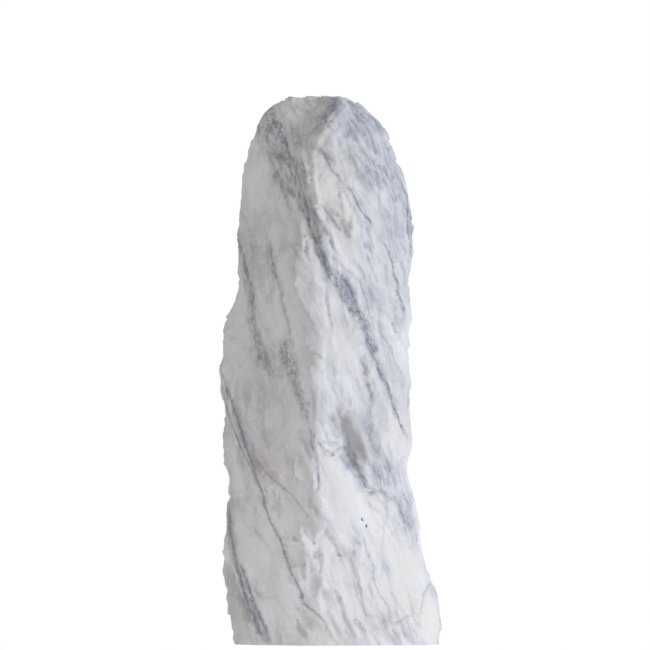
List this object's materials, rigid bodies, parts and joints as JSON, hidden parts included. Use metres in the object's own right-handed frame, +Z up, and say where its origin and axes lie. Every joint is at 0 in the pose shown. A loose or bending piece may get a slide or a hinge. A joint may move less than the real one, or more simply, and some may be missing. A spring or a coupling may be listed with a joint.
{
  "type": "garden standing stone",
  "caption": "Upright rough-split marble garden stone with a scooped crown, a front ridge, chipped edges and a flat sawn base.",
  "frame": {"origin": "middle of the bounding box's underside, in the plane of the sawn base", "axes": "+Z up along the stone's length, +X to the right seen from the front, -Y towards the viewer of the front ridge"},
  "size_m": [0.4884, 0.3684, 1.2],
  "materials": {
    "marble": "matte"
  },
  "bodies": {
    "root": {"boulder": "marble"}
  },
  "joints": []
}
